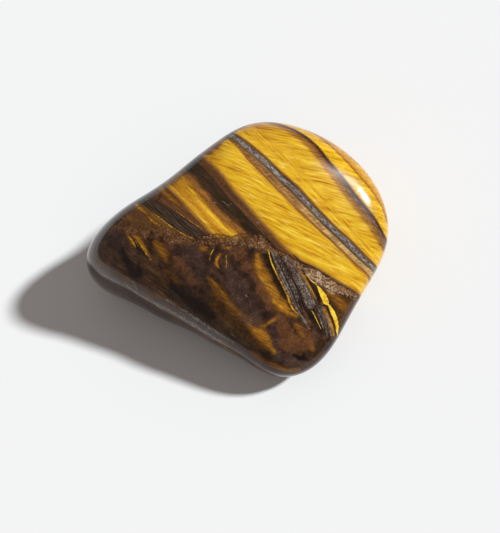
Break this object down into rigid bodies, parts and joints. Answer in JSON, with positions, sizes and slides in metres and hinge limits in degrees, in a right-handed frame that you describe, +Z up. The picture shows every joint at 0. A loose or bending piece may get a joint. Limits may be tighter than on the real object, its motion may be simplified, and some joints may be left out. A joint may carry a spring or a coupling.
{
  "type": "tumbled tiger's eye stone",
  "caption": "Tumbled and polished tiger's eye pebble, a rounded wedge with gold and dark bands, resting on a worn flat.",
  "frame": {"origin": "middle of the stone's outline seen from above, at the level it rests on", "axes": "+X along the stone's longest extent, towards the broad end with the gold bands; +Y towards its thick side; +Z up, through its thickness"},
  "size_m": [0.021, 0.017, 0.0085],
  "materials": {
    "polished_stone": "polished tiger's eye: gold fibrous bands, dark brown and blue-grey stripes, dark red-brown jasper, under a wet-looking gloss"
  },
  "bodies": {
    "root": {"stone": "polished_stone"}
  },
  "joints": []
}
